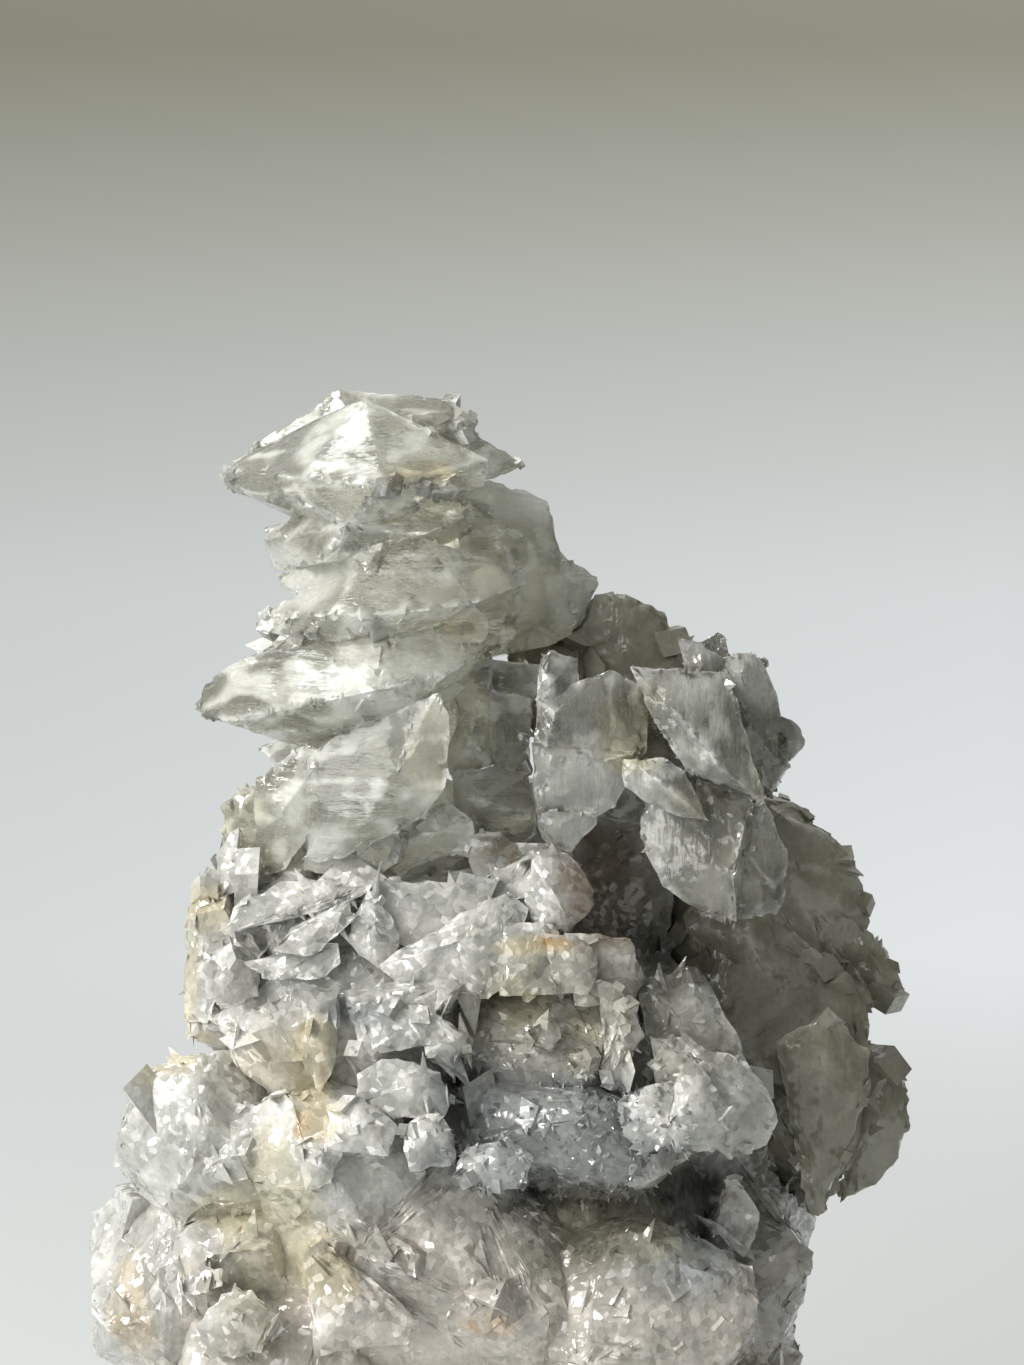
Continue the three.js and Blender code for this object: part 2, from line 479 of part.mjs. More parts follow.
const frontShards = [
  // the ledge: a tilted blade with a glittering upper edge, the crystals it leans on and the blocks below
  {
    outline: [[-7.8, 47.4], [-0.3, 51.5], [0.7, 51.8], [2.2, 50.4], [0.6, 44.2], [-1, 43.2],
      [-8, 44.2], [-9.8, 45.8]],
    y: -13.4, slope: [0.05, 0.2], thick: 8, crest: [[-3.4, 47.8, 1], [0, 49.6, 0.8]],
  },
  {
    outline: [[-3.4, 51.4], [-1.6, 52.9], [0.4, 53.5], [3, 55.2], [3.6, 51.8], [-1, 50.4]],
    y: -10.4, slope: [0.05, 0.3], thick: 6,
  },
  {
    outline: [[2.3, 54.5], [3, 55.2], [4.6, 55.4], [5.7, 54.8], [7.8, 51.9], [7.6, 50.8], [5.8, 48.6],
      [3, 48.4], [2, 51.6]],
    y: -11.4, slope: [0.15, 0.1], thick: 8, crest: [[4.4, 51.6, 1.2]],
  },
  {
    outline: [[0, 49.3], [3.4, 49.3], [4.8, 48.7], [5.4, 43.4], [0, 43.4]],
    y: -13.6, slope: [0.05, 0.12], thick: 8, crest: [[2.4, 46.4, 0.6]],
  },
  {
    outline: [[3.6, 48.4], [6, 48.3], [7.8, 46.8], [8, 45.2], [7, 43.6], [4.4, 43.2]],
    y: -14.4, slope: [0.1, 0], thick: 7, crest: [[6, 46, 0.7]],
  },
  {
    outline: [[5, 48.5], [10.7, 48.2], [10.8, 46.8], [11.7, 44.8], [10.6, 42.6], [6, 42.6]],
    y: -12.8, slope: [0.1, 0.1], thick: 8, crest: [[8, 45, 0.7]],
  },
  {
    outline: [[7.8, 44.8], [8, 42], [8.7, 36.2], [10.4, 40], [10, 44]],
    y: -14.6, slope: [0.3, 0], thick: 6,
  },
  {
    outline: [[10.4, 43.3], [11, 42], [11.7, 40.2], [10.2, 37.6], [8.9, 36], [8.4, 37.6], [9.2, 41.6]],
    y: -15, slope: [0.3, 0], thick: 6, crest: [[10, 40, 0.6]],
  },
  {
    outline: [[3.9, 42.4], [2.5, 41], [2.2, 39.8], [3, 38.8], [4, 38.8], [5.1, 40], [4.9, 40.9]],
    y: -16, thick: 8, crest: [[3.8, 40.6, 0.8]],
  },
  {
    outline: [[5.2, 38.9], [7, 39.1], [7.7, 38.6], [7.4, 37], [6.2, 36.7], [5.2, 37.8]],
    y: -16, thick: 7, crest: [[6.4, 38, 0.5]],
  },
  {
    outline: [[11, 44.7], [13, 45.3], [14.6, 45.6], [16.5, 45.2], [17.3, 43.8], [19.3, 39.8],
      [19.6, 37], [12, 36.6]],
    y: -11, slope: [0.15, 0.1], thick: 9, crest: [[14.6, 42, 1]],
  },
  // the white crystal on the right of the front, in three lobes
  {
    outline: [[9.6, 34.8], [11, 36.2], [13.8, 36.6], [15, 34.8], [15, 31.6], [11.6, 30], [9.8, 32]],
    y: -16.4, slope: [0.05, 0.1], thick: 7, crest: [[12.4, 34.6, 1], [13.6, 32.4, 1]],
  },
  {
    outline: [[14.2, 37], [15.4, 38.4], [17, 36.8], [18.5, 34], [18.4, 32.6], [17.2, 30.8],
      [14, 30.4], [13, 33]],
    y: -17, slope: [0.15, 0.1], thick: 8, crest: [[15.6, 35, 0.9]],
  },
  {
    outline: [[12, 40.2], [14.4, 40.2], [16.6, 39.6], [20, 38.1], [21.4, 35.8], [22.4, 33.2],
      [21.6, 31.2], [18.6, 29.8], [13, 34]],
    y: -13.4, slope: [0.2, 0.1], thick: 8, crest: [[16.6, 38, 0.9], [19.6, 35, 0.8]],
  },
  {
    outline: [[18, 28.6], [19.1, 28.7], [19.6, 26.6], [21, 25.8], [21, 23.6], [19.6, 21.8], [17, 24]],
    y: -10, slope: [0.3, 0], thick: 6,
  },
  // blades at the foot of the tower, lying one over another
  {
    outline: [[-22.9, 48.2], [-20.6, 50.8], [-17.6, 52.6], [-9.9, 52.8], [-10.6, 51.8], [-12.8, 50.7],
      [-18.4, 49.4]],
    y: -12.6, slope: [0.05, 0.7], thick: 5,
  },
  {
    outline: [[-18.3, 47], [-16.8, 48.8], [-14.4, 49.3], [-12.4, 50.9], [-11.1, 49.9], [-13.6, 47.6],
      [-15, 46.4]],
    y: -14, slope: [0, 0.5], thick: 5,
  },
  {
    outline: [[-20.7, 46.1], [-18, 46.8], [-13, 47.7], [-12.8, 46], [-14, 44.8], [-18.6, 44.4]],
    y: -14.4, slope: [0, 0.3], thick: 7,
  },
  {
    outline: [[-21.5, 47.6], [-20.4, 47.4], [-19.5, 46.6], [-19.2, 43.2], [-21.5, 43.4],
      [-22.5, 42.2], [-23.1, 43.2]],
    y: -13.8, slope: [0.45, 0.1], thick: 6,
  },
  {
    outline: [[-25.3, 48.4], [-24, 52.6], [-22.4, 50], [-22.2, 46.6], [-23.4, 41], [-25.4, 41],
      [-25.4, 46]],
    y: -9, slope: [-0.4, 0], thick: 7, crest: [[-24, 46, 0.8]],
  },
  {
    outline: [[-24, 52.8], [-23.2, 54.4], [-22, 55.8], [-20.4, 55], [-19.4, 53], [-20, 51.8],
      [-22.6, 51.4]],
    y: -8.4, slope: [-0.4, 0], thick: 6, crest: [[-21.8, 53.4, 0.8]],
  },
  {
    outline: [[-10, 52.8], [-4, 52.4], [0, 52.8], [-1, 50.6], [-7.6, 47.2], [-9.4, 48]],
    y: -11, slope: [0.1, 0.1], thick: 6, crest: [[-6, 50.6, 0.6]],
  },
  {
    outline: [[-10.6, 52.1], [-9.2, 51.5], [-7.7, 47.3], [-9.8, 45.6], [-11.4, 46.6], [-12.5, 48],
      [-11.5, 50.2]],
    y: -12.8, slope: [0.2, 0.2], thick: 6, crest: [[-10, 49, 0.8]],
  },
  {
    outline: [[-12.6, 43.7], [-8, 44.3], [-4.2, 45.4], [-2.5, 45.5], [-3.1, 43.6], [-4, 42],
      [-7.4, 42.6], [-12.4, 42.4]],
    y: -14.4, slope: [0, 0.4], thick: 6, crest: [[-5, 44, 0.6]],
  },
  // stained blades on the left
  {
    outline: [[-15.8, 43], [-14.2, 42.8], [-13.2, 43.8], [-12.7, 42.4], [-13.4, 37], [-14.6, 35.2],
      [-16.1, 38]],
    y: -15.4, slope: [0.2, 0.1], thick: 7, crest: [[-14.2, 41, 0.7]],
  },
  {
    outline: [[-20.4, 42.4], [-17, 43.6], [-15.4, 42], [-15.8, 38], [-19, 37.6], [-22, 39.6]],
    y: -14, slope: [0.1, 0.3], thick: 7, crest: [[-18, 41, 0.7]],
  },
  // blocks in the middle of the front
  {
    outline: [[-12, 43], [-6.4, 42.6], [-4.5, 41.9], [-4.8, 40.2], [-6, 39.2], [-11.4, 38.4]],
    y: -16, slope: [0.05, 0.25], thick: 8, crest: [[-7, 41, 0.8]],
  },
  {
    outline: [[-4.8, 42], [-2.1, 39.9], [-2.3, 38.8], [-3.6, 36.5], [-6, 38.6], [-6.4, 40]],
    y: -16, slope: [0.1, 0.1], thick: 7, crest: [[-4.2, 39.6, 0.7]],
  },
  {
    outline: [[-11.5, 37], [-9.6, 38.4], [-7, 38], [-4.8, 37.2], [-3.6, 35], [-4.4, 33.6],
      [-8.6, 33.4], [-11.6, 35.4]],
    y: -18, slope: [0.05, 0.1], thick: 8, crest: [[-7.6, 36, 0.9]],
  },
  {
    outline: [[-14.4, 34.6], [-12, 35.2], [-10.6, 34.9], [-7.8, 32.8], [-9, 30.4], [-14, 31]],
    y: -19, slope: [0, 0.15], thick: 8, crest: [[-10.8, 33, 1]],
  },
  {
    outline: [[-8, 32.8], [-6.6, 33.9], [-4.8, 33.9], [-3.4, 32], [-3.6, 29.6], [-7.4, 29]],
    y: -19.6, slope: [0.1, 0.15], thick: 8, crest: [[-5.8, 32, 0.9]],
  },
  {
    outline: [[-2.8, 31.2], [0.6, 32], [2.6, 30], [2.2, 28], [-1, 27.4], [-4, 28.6]],
    y: -19.6, slope: [0.1, 0.1], thick: 8, crest: [[-0.4, 30, 0.8]],
  },
  {
    outline: [[-16, 31.8], [-14, 32.6], [-12.6, 31], [-13.4, 28], [-15.8, 27.4]],
    y: -18, slope: [-0.1, 0.1], thick: 8, crest: [[-14.4, 30, 1]],
  },
  // crystal faces in the massive foot
  {
    outline: [[-26, 20], [-24.2, 21.8], [-22, 21.3], [-22.3, 19.8], [-23.8, 19], [-25.6, 19]],
    y: -17.4, slope: [-0.2, 0.3], thick: 6,
  },
  {
    outline: [[-16, 22.4], [-14.2, 24], [-12, 21.2], [-8.4, 18], [-6.6, 17], [-7.4, 15], [-15, 14]],
    y: -19.6, slope: [0.1, 0.2], thick: 8, crest: [[-11.6, 19, 0.9]],
  },
  {
    outline: [[-24.6, 16.6], [-22.6, 19.4], [-20, 19.6], [-17.6, 17], [-19, 14], [-24, 13.6]],
    y: -18.4, slope: [0, 0.2], thick: 8, crest: [[-21, 17.6, 0.8]],
  },
];

// Crystals scattered over the lump where the front doesn't show them one by one
const crusts = [
  [lumps[1], { count: 11, radius: [3.4, 6], from: 20, to: 190, low: 5, high: 60, seed: 51 }],
  [lumps[3], { count: 10, radius: [3, 6], from: 0, to: 120, low: -30, high: 50, seed: 52 }],
  [lumps[4], { count: 9, radius: [3, 6], from: 10, to: 170, low: 0, high: 60, seed: 53 }],
  [lumps[2], { count: 8, radius: [2.4, 4.6], from: 90, to: 200, low: 0, high: 40, seed: 54 }],
  [lumps[0], { count: 9, radius: [3.4, 6], from: 20, to: 160, low: 0, high: 40, seed: 55 }],
  [bulges[4], { count: 6, radius: [2, 3.4], from: 220, to: 320, low: -40, high: 40, seed: 59 }],
  [bulges[5], { count: 6, radius: [2, 3.6], from: 220, to: 320, low: -40, high: 50, seed: 60 }],
  [bulges[6], { count: 6, radius: [2, 3.6], from: 200, to: 320, low: -40, high: 50, seed: 61 }],
  [bulges[8], { count: 8, radius: [1.5, 2.4], from: 200, to: 340, low: -50, high: 50, seed: 62 }],
];

// Putting the specimen together

function bodyOf(crystals) {
  return { solid: join(crystals.map((c) => c.solid)), socket: join(crystals.map((c) => c.socket)) };
}

const tower = bodyOf([
  ...roofs.map(gem),
  ...towerShards.map(shard),
  ...towerCore.map(block),
]);
const cluster = bodyOf([...clusterShards.map(shard), ...clusterCore.map(block)]);
const rear = bodyOf([...rearShards.map(shard), ...rearCore.map(block)]);
const lump = bodyOf([
  ...lumps.map(block),
  ...bulges.map(block),
  ...frontShards.map(shard),
  ...crusts.flatMap(([host, growth]) => crust(host, growth)),
]);

const aboveBase = solidOf(new THREE.BoxGeometry(200, 200, 200).translate(0, 0, 100 + BASE_Z));

const pieces = {
  pagoda_tower: tower.solid,
  shoulder_cluster: cluster.solid.subtract(tower.socket),
  rear_crystals: rear.solid.subtract(tower.socket).subtract(cluster.socket),
  matrix: lump.solid
    .subtract(tower.socket)
    .subtract(cluster.socket)
    .subtract(rear.socket)
    .intersect(aboveBase),
};

// Finish: colour, roughness and metalness of each piece
const finishes = {
  pagoda_tower: { color: 0xc9c7bb, roughness: 0.22 },
  shoulder_cluster: { color: 0xb2b1a8, roughness: 0.26 },
  rear_crystals: { color: 0x8f8c80, roughness: 0.34 },
  matrix: { color: 0xcfc8bf, roughness: 0.5 },
};

function meshOf(name, solid) {
  const { vertProperties, triVerts } = mainBody(mainBody(solid).simplify(FINEST_EDGE)).getMesh();
  const indexed = new THREE.BufferGeometry();
  indexed.setAttribute("position", new THREE.BufferAttribute(vertProperties, 3));
  indexed.setIndex(new THREE.BufferAttribute(triVerts, 1));
  const geometry = indexed.toNonIndexed();
  geometry.computeVertexNormals();
  const material = new THREE.MeshStandardMaterial({ metalness: 0, flatShading: true, ...finishes[name] });
  const mesh = new THREE.Mesh(geometry, material);
  mesh.name = name;
  return mesh;
}

const specimen = new THREE.Group();
for (const [name, solid] of Object.entries(pieces)) specimen.add(meshOf(name, solid));

// The origin goes under the middle of the base
const box = new THREE.Box3().setFromObject(specimen);
const middle = box.getCenter(v(0, 0, 0));
specimen.position.set(-middle.x, -middle.y, -box.min.z);

export default specimen;
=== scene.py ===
import math

import bpy
import numpy as np
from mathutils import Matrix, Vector
from mathutils.bvhtree import BVHTree
from mathutils.kdtree import KDTree


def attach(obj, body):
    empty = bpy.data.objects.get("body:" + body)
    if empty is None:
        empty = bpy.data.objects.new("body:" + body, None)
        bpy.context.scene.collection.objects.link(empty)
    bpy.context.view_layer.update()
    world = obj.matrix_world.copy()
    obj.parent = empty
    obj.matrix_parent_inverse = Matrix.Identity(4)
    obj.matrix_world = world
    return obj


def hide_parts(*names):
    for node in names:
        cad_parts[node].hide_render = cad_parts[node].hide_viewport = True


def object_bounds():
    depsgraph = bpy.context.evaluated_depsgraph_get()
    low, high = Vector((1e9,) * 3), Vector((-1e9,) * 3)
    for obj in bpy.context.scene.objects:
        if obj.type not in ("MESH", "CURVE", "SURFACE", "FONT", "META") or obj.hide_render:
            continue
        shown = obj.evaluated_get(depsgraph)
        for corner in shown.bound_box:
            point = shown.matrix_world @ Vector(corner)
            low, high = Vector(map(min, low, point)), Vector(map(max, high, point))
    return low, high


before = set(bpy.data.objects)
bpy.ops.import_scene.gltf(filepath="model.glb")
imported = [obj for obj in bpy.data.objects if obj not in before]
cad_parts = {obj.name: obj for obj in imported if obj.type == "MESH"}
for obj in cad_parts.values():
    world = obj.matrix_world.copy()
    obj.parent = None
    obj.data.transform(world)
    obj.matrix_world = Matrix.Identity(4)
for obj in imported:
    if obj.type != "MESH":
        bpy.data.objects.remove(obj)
cad_low, cad_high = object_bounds()

MM = 0.001
PHOTO_X = -0.5  # where pixel column 500 of the photo crosses the specimen, mm from its middle
NEAR_Y = 4.0  # what the front shows reaches this deep, mm
FADE_Y = 4.0  # and a stain fades out over this depth behind it, mm
FRONT_Y = -4.0  # a coat that grows only in one spot stays in front of this, unless it says otherwise, mm

# Camera: the photo's view, from the height of the tower's cap and looking slightly down

MIDDLE = Vector((0, 0, (cad_high - cad_low).z * 0.5))
AIM = Vector((PHOTO_X + 0.96, -0.8, 68.6)) * MM
DISTANCE = 0.330
ELEVATION = math.radians(3)
LENS = 108.7

camera = bpy.data.objects.new("camera", bpy.data.cameras.new("camera"))
camera.data.lens = LENS
camera.data.sensor_width = 36
back = Vector((0, -math.cos(ELEVATION), math.sin(ELEVATION)))
camera.location = AIM + back * DISTANCE
camera.rotation_mode = "QUATERNION"
camera.rotation_quaternion = (-back).to_track_quat("-Z", "Y")
bpy.context.scene.collection.objects.link(camera)
bpy.context.scene.camera = camera


# Noise on arrays of points, in millimetres

def scramble(cell, seed):
    """A repeatable number from 0 to 1 for each whole-number cell."""
    h = (cell[..., 0] * 73856093) ^ (cell[..., 1] * 19349663) ^ (cell[..., 2] * 83492791)
    h = h ^ (seed * 2654435761)
    h = (h ^ (h >> 13)) & 0xFFFFFFFF
    h = (h * 1274126177) & 0xFFFFFFFF
    h = (h ^ (h >> 16)) & 0xFFFFFFFF
    return h / 4294967296.0


def smooth_noise(points, grain, seed):
    """Value noise from -1 to 1 whose lumps are about grain across."""
    p = points / grain
    cell = np.floor(p).astype(np.int64)
    f = p - cell
    f = f * f * (3 - 2 * f)
    total = np.zeros(len(p))
    for corner in np.ndindex(2, 2, 2):
        share = np.prod(np.where(corner, f, 1 - f), axis=1)
        total += share * scramble(cell + np.array(corner), seed)
    return 2 * total - 1


def facets(points, grain, seed):
    """Broken crystal: cells about grain across, each a flat face with a tilt of its own. About -1 to 1."""
    p = points / grain
    cell = np.floor(p).astype(np.int64)
    nearest = np.full(len(p), np.inf)
    height = np.zeros(len(p))
    for step in np.ndindex(3, 3, 3):
        c = cell + np.array(step) - 1
        seeds = c + np.stack([scramble(c, seed + k) for k in range(3)], axis=1)
        away = p - seeds
        d = (away**2).sum(axis=1)
        closer = d < nearest
        tilt = np.stack([scramble(c, seed + 3 + k) for k in range(3)], axis=1) - 0.5
        face = 1.6 * (away * tilt).sum(axis=1) + scramble(c, seed + 6) - 0.5
        nearest = np.where(closer, d, nearest)
        height = np.where(closer, face, height)
    return height


# Meshes

SHARP = math.radians(24)  # edges that bend more than this are crests or creases
CREST_SPACING = 0.35  # points along them, mm
RIM_REACH, CREASE_REACH = 0.7, 1.2  # how fast their effect dies away, mm
FLAT_FOOT = 0.02  # a node's corners this near its lowest point stay where they are, mm


def weld(mesh):
    """A CAD node's corners in millimetres and its triangles, with split corners joined again."""
    co = np.empty(len(mesh.vertices) * 3)
    mesh.vertices.foreach_get("co", co)
    mesh.calc_loop_triangles()
    tri = np.empty(len(mesh.loop_triangles) * 3, dtype=np.int64)
    mesh.loop_triangles.foreach_get("vertices", tri)
    co, same = np.unique(np.round(co.reshape(-1, 3) / MM, 3), axis=0, return_inverse=True)
    tri = same.reshape(-1)[tri].reshape(-1, 3)
    kept = (tri[:, 0] != tri[:, 1]) & (tri[:, 1] != tri[:, 2]) & (tri[:, 2] != tri[:, 0])
    return co, tri[kept]


def edges_of(tri):
    """The mesh's edges, and the three edges of each triangle."""
    pairs = np.sort(tri[:, [[0, 1], [1, 2], [2, 0]]].reshape(-1, 2), axis=1)
    edges, index = np.unique(pairs, axis=0, return_inverse=True)
    return edges, index.reshape(-1, 3)


def normals_of(co, tri):
    across = np.cross(co[tri[:, 1]] - co[tri[:, 0]], co[tri[:, 2]] - co[tri[:, 0]])
    return across / np.maximum(np.linalg.norm(across, axis=1), 1e-12)[:, None]


def crests_and_creases(co, tri):
    """Points along the mesh's sharp convex edges, and along its sharp concave ones."""
    edges, index = edges_of(tri)
    normal = normals_of(co, tri)
    middle = co[tri].mean(axis=1)
    order = np.argsort(index.reshape(-1), kind="stable")
    face = order // 3
    sides = np.bincount(index.reshape(-1), minlength=len(edges))
    first = np.concatenate([[0], np.cumsum(sides)[:-1]])
    paired = sides == 2
    a, b = face[first[paired]], face[first[paired] + 1]
    sharp = (normal[a] * normal[b]).sum(axis=1) < math.cos(SHARP)
    convex = (normal[a] * (middle[b] - middle[a])).sum(axis=1) < 0
    found = []
    for chosen in (sharp & convex, sharp & ~convex):
        ends = co[edges[paired][chosen]]
        points = []
        for start, end in ends:
            steps = max(1, int(np.linalg.norm(end - start) / CREST_SPACING))
            points.extend(start + (end - start) * (k + 0.5) / steps for k in range(steps))
        found.append(points)
    return found


def refine(co, tri, longest):
    """Halves every edge over a length, keeping each flat face flat, until none is longer."""
    while True:
        edges, index = edges_of(tri)
        length = np.linalg.norm(co[edges[:, 0]] - co[edges[:, 1]], axis=1)
        long = length > longest
        if not long.any():
            return co, tri
        middle = np.full(len(edges), -1)
        middle[long] = len(co) + np.arange(long.sum())
        co = np.concatenate([co, co[edges[long]].mean(axis=1)])
        cut = middle[index]
        count = (cut >= 0).sum(axis=1)
        parts = [tri[count == 0]]
        for turn in range(3):
            t = np.roll(tri, -turn, axis=1)
            m = np.roll(cut, -turn, axis=1)
            one = (count == 1) & (m[:, 0] >= 0)
            v0, v1, v2 = t[one].T
            a = m[one, 0]
            parts += [np.stack([v0, a, v2], 1), np.stack([a, v1, v2], 1)]
            two = (count == 2) & (m[:, 2] < 0)
            v0, v1, v2 = t[two].T
            a, b = m[two, 0], m[two, 1]
            parts += [np.stack([a, v1, b], 1), np.stack([v0, a, b], 1), np.stack([v0, b, v2], 1)]
        three = count == 3
        v0, v1, v2 = tri[three].T
        a, b, c = cut[three].T
        parts += [np.stack(p, 1) for p in ((v0, a, c), (a, v1, b), (c, b, v2), (a, b, c))]
        tri = np.concatenate(parts)


def tree_of(points):
    tree = KDTree(len(points))
    for k, p in enumerate(points):
        tree.insert(p, k)
    tree.balance()
    return tree


def distance_to(points, targets):
    tree = tree_of(targets)
    return np.array([tree.find(p)[2] for p in points])


def rough_out(node, *, longest, swell, chips, broken=(), seed):
    """A copy of a CAD node with fine triangles: corners, triangles, normals, the points along its crests, and
    how near each corner is to a crest and to a crease, from 0 to 1. Its faces swell a little and its edges
    are chipped. broken breaks it into facets too: it gives (grain, height) pairs. Lengths are in mm."""
    co, tri = weld(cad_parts[node].data)
    crests, creases = crests_and_creases(co, tri)
    low, high = co.min(axis=0), co.max(axis=0)
    co, tri = refine(co, tri, longest)
    rim = np.exp(-distance_to(co, crests) / RIM_REACH)
    crease = np.exp(-distance_to(co, creases) / CREASE_REACH)
    face_normal = normals_of(co, tri)
    normal = np.zeros_like(co)
    for k in range(3):
        np.add.at(normal, tri[:, k], face_normal)
    normal /= np.maximum(np.linalg.norm(normal, axis=1), 1e-9)[:, None]
    out = swell * (1 - rim) * smooth_noise(co, 5, seed)
    out = out + 0.4 * swell * (1 - rim) * smooth_noise(co, 1.8, seed + 1)
    for grain, height in broken:
        out += height * facets(co, grain, seed + 2)
    out -= chips * rim * np.clip(0.5 + smooth_noise(co, 0.9, seed + 9) + facets(co, 1.3, seed + 10), 0, 2)
    out[co[:, 2] < low[2] + FLAT_FOOT] = 0
    co = np.clip(co + normal * out[:, None], low, high)
    return co, tri, normal, crests, rim, crease


# Small crystals that grow on the big ones

FAMILY = 6.0  # small crystals within cells of this size lean alike, mm


def box_faces():
    quads = [(0, 1, 3, 2), (4, 6, 7, 5), (0, 4, 5, 1), (2, 3, 7, 6), (0, 2, 6, 4), (1, 5, 7, 3)]
    return [t for a, b, c, d in quads for t in ((a, b, c), (a, c, d))]


def rhomb():
    """A calcite cleavage rhomb: a leaning box with edges 2 long."""
    lean = math.radians(102)
    sides = np.array([(1, 0, 0), (math.cos(lean), math.sin(lean), 0), (-0.21, -0.25, 0.94)])
    signs = np.array([(x, y, z) for x in (-1, 1) for y in (-1, 1) for z in (-1, 1)])
    return signs @ sides, np.array(box_faces())


def spindle(waist, tip):
    """A six-sided crystal with two tips and a zigzag waist: a tooth if waist is small, a disc if tip is."""
    ring = []
    for k in range(6):
        a = math.radians(60 * k)
        wide = waist * (1.0 if k % 2 else 0.82)
        ring.append((wide * math.cos(a), wide * math.sin(a), 0.12 * tip * (1 if k % 2 else -1)))
    corners = np.array(ring + [(0, 0, tip), (0, 0, -tip)])
    faces = []
    for k in range(6):
        faces += [(k, (k + 1) % 6, 6), ((k + 1) % 6, k, 7)]
    return corners, np.array(faces)


def narrowed(shape, wide, thin):
    return shape[0] * (wide, thin, 1), shape[1]


SHAPES = {
    "rhomb": rhomb(),
    "tooth": spindle(0.42, 1.1),
    "disc": spindle(1.0, 0.3),
    "plate": spindle(1.0, 0.16),
    "blade": narrowed(spindle(1.0, 1.3), 0.42, 0.12),
}


def grow(dice, places, normals, sizes, *, shapes, sink, lean, lying=False):
    """A small crystal at each place, its axis near the normal or, lying, along the surface. Returns corners,
    triangles, and for each corner the place it grew at and how far out it stands, in crystal sizes."""
    n = len(places)
    cell = np.floor(places / FAMILY).astype(np.int64)
    shared = np.stack([scramble(cell, 500 + k) for k in range(3)], axis=1) - 0.5
    if lying:
        axis = np.cross(normals, np.array((0.9, 0.1, 0.25)) + 1.2 * shared)
        axis /= np.maximum(np.linalg.norm(axis, axis=1), 1e-6)[:, None]
        axis += lean * dice.uniform(-0.5, 0.5, (n, 3))
        side = np.cross(axis, normals + 0.8 * lean * shared)
    else:
        axis = normals + lean * (1.4 * shared + dice.uniform(-0.35, 0.35, (n, 3)))
        side = np.cross(axis, shared + dice.uniform(-0.15, 0.15, (n, 3)))
    axis /= np.linalg.norm(axis, axis=1)[:, None]
    side /= np.maximum(np.linalg.norm(side, axis=1), 1e-6)[:, None]
    other = np.cross(axis, side)
    picks = dice.integers(0, len(shapes), n)
    all_co, all_tri, host, depth = [], [], [], []
    start = 0
    for k, shape in enumerate(shapes):
        corners, faces = SHAPES[shape]
        mine = np.nonzero(picks == k)[0]
        if not len(mine):
            continue
        stretch = sizes[mine][:, None, None] * dice.uniform(0.7, 1.3, (len(mine), 1, 3))
        local = corners[None] * stretch
        spread = local[..., :1] * side[mine][:, None] + local[..., 1:2] * other[mine][:, None]
        spread = spread + local[..., 2:] * axis[mine][:, None]
        middle = places[mine] - normals[mine] * (sizes[mine] * sink)[:, None]
        co = middle[:, None] + spread
        all_co.append(co.reshape(-1, 3))
        steps = start + np.arange(len(mine)) * len(corners)
        all_tri.append((faces[None] + steps[:, None, None]).reshape(-1, 3))
        host.append(np.repeat(mine, len(corners)))
        outward = ((co - places[mine][:, None]) * normals[mine][:, None]).sum(axis=2) / sizes[mine][:, None]
        depth.append(outward.reshape(-1))
        start += len(mine) * len(corners)
    return np.concatenate(all_co), np.concatenate(all_tri), np.concatenate(host), np.concatenate(depth)


def off_centre(points, middle, wide, high):
    """How far from the middle of a spot on the front each point shows: 1 at the spot's edge."""
    x, z = middle
    return np.hypot((points[:, 0] - PHOTO_X - x) / wide, (points[:, 2] - z) / high)


def at_spots(places, spots, default):
    """A number for each place: that of the spots it shows in from the front, default elsewhere."""
    result = np.full(len(places), default, dtype=float)
    for middle, wide, high, number in spots:
        result = np.where(off_centre(places, middle, wide, high) < 1, number, result)
    return result


def mesh_object(name, co, tri, crisp):
    mesh = bpy.data.meshes.new(name)
    mesh.vertices.add(len(co))
    mesh.vertices.foreach_set("co", (co * MM).ravel())
    mesh.loops.add(tri.size)
    mesh.loops.foreach_set("vertex_index", tri.ravel())
    mesh.polygons.add(len(tri))
    mesh.polygons.foreach_set("loop_start", np.arange(0, tri.size, 3))
    mesh.polygons.foreach_set("loop_total", np.full(len(tri), 3))
    mesh.update(calc_edges=True)
    mesh.validate()
    mesh.shade_smooth()
    mesh.set_sharp_from_angle(angle=math.radians(crisp))
    obj = bpy.data.objects.new(name, mesh)
    bpy.context.scene.collection.objects.link(obj)
    return obj


# Staining and painted shade, by where they show from the front: what it is, its middle (x, z), half width and
# half height in millimetres, tint, and how strong it is. The clefts, the hollow, the ledge, the block right
# of it and the shoulder cluster's folds, right side and lower plates get painted shade

WHITE = (1.0, 1.0, 1.0)
BLUSH = (1.0, 0.94, 0.90)
CREAM = (1.0, 0.90, 0.68)
BEIGE = (0.93, 0.79, 0.60)
RUST = (0.86, 0.56, 0.24)
STRAW = (0.93, 0.87, 0.66)
# the olive of the left face, and painted shade on the ledge, the block and the shoulder cluster's folds and
# right side
OLIVE_AND_SHADE = (0.66, 0.62, 0.47)
SLATE = (0.44, 0.475, 0.50)
# painted shadow: the black deep in the clefts and on the hollow floor
PAINTED_SHADOW = (0.20, 0.19, 0.165)
# painted shade on the hollow's inner wall, brownish
HOLLOW_BROWN_SHADE = (0.40, 0.335, 0.275)
PEWTER = (0.56, 0.54, 0.52)
# grey-olive painted shade: on the ledge over its own grey-olive, on the block right of it, on the cluster's
# lower plates
GREY_OLIVE_SHADE = (0.62, 0.61, 0.555)

